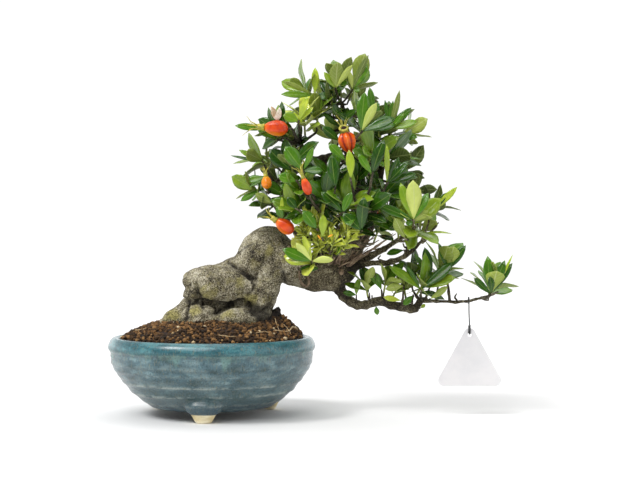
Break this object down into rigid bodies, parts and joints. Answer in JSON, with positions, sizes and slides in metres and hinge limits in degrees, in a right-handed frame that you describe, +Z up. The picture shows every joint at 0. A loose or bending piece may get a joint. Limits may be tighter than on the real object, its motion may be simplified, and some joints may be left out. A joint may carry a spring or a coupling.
{
  "type": "potted bonsai tree",
  "caption": "Potted gardenia bonsai: leaning gnarled trunk, leafy crown with orange fruits, a long low branch with a blank hanging tag, in a round glazed pot on feet.",
  "frame": {"origin": "middle of the whole object's footprint, at table height (the underside of the pot's feet)", "axes": "+X towards the tip of the long low branch, -Y towards the viewer of the picture, +Z up"},
  "size_m": [0.4748, 0.2414, 0.4212],
  "materials": {
    "glaze": "mottled glossy glaze",
    "soil": "loose matt granules",
    "net": "matt",
    "bark": "smooth grey bark with lichen",
    "leaf_dark": "glossy older leaves",
    "leaf_mid": "glossy leaves",
    "leaf_young": "soft young leaves",
    "fruit": "satin ripe skin",
    "calyx": "matt",
    "tag": "satin white plastic",
    "wire": "dull grey metal"
  },
  "bodies": {
    "root": {"pot": "glaze", "drain_net": "net", "soil": "soil", "trunk_and_branches": "bark", "spray_01": "leaf_mid", "spray_02": "leaf_mid", "spray_03": "leaf_mid", "spray_04": "leaf_dark", "spray_05": "leaf_mid", "spray_06": "leaf_dark", "spray_07": "leaf_dark", "spray_08": "leaf_mid", "spray_09": "leaf_dark", "spray_10": "leaf_mid", "spray_11": "leaf_dark", "spray_12": "leaf_young", "spray_13": "leaf_dark", "spray_14": "leaf_dark", "spray_15": "leaf_young", "spray_16": "leaf_mid", "spray_17": "leaf_mid", "spray_18": "leaf_dark", "spray_19": "leaf_dark", "spray_20": "leaf_mid", "spray_21": "leaf_dark", "spray_22": "leaf_mid", "spray_23": "leaf_dark", "spray_24": "leaf_mid", "spray_25": "leaf_dark", "spray_26": "leaf_dark", "spray_27": "leaf_young", "spray_28": "leaf_young", "spray_29": "leaf_mid", "spray_30": "leaf_mid", "spray_31": "leaf_mid", "spray_32": "leaf_mid", "spray_33": "leaf_mid", "spray_34": "leaf_mid", "spray_35": "leaf_mid", "spray_36": "leaf_dark", "spray_37": "leaf_mid", "spray_38": "leaf_dark", "spray_39": "leaf_mid", "spray_40": "leaf_dark", "spray_41": "leaf_dark", "spray_42": "leaf_mid", "fruit_1": "fruit", "fruit_2": "fruit", "fruit_3": "fruit", "fruit_4": "fruit", "fruit_5": "fruit", "fruit_6": "fruit", "calyx_1": "calyx", "calyx_2": "calyx", "calyx_3": "calyx", "calyx_4": "calyx", "calyx_5": "calyx", "calyx_6": "calyx", "plant_tag": "tag", "tag_wire": "wire"}
  },
  "joints": []
}
